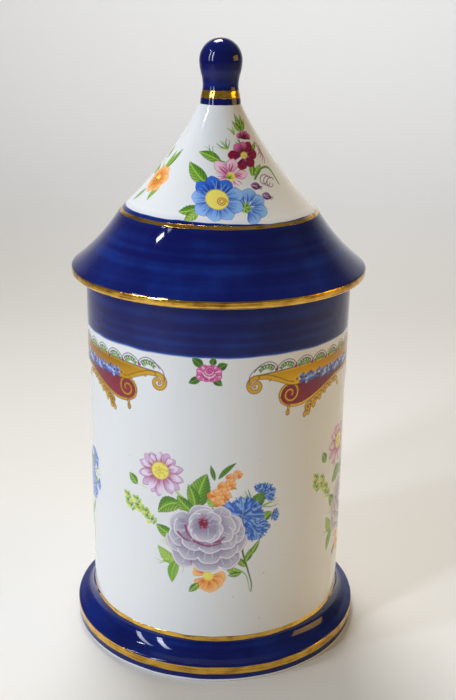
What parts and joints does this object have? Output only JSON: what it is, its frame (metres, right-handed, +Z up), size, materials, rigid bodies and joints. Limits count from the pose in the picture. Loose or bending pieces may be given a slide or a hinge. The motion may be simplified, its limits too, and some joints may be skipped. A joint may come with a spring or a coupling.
{
  "type": "covered porcelain jar",
  "caption": "Tall round porcelain storage jar on a flared foot, with a conical lift-off lid and a round knob, white with cobalt blue and gilt bands.",
  "frame": {"origin": "on the jar's axis, in the plane of the foot ring that it stands on", "axes": "+Z up along the axis of the jar and lid; -Y is the front, where the pictured flower spray is"},
  "size_m": [0.114, 0.114, 0.2284],
  "materials": {
    "porcelain": "clear glazed white porcelain",
    "cobalt_glaze": "glossy cobalt blue glaze",
    "gilding": "fired bright gold, polished"
  },
  "bodies": {
    "jar": {"jar_body": "porcelain", "jar_cobalt_band": "cobalt_glaze", "foot_cobalt_band": "cobalt_glaze", "foot_gilt_line": "gilding", "foot_gilt_band": "gilding"},
    "lid": {"lid_shell": "porcelain", "lid_cobalt_band": "cobalt_glaze", "lid_shoulder_gilt_line": "gilding", "lid_rim_gilt": "gilding", "knob": "cobalt_glaze", "knob_gilt_ring": "gilding"}
  },
  "joints": [
    {"name": "lid_lift", "type": "slide", "parent": "jar", "child": "lid", "axis": [0, 0, 1], "range_m": [0, 0.12]}
  ]
}
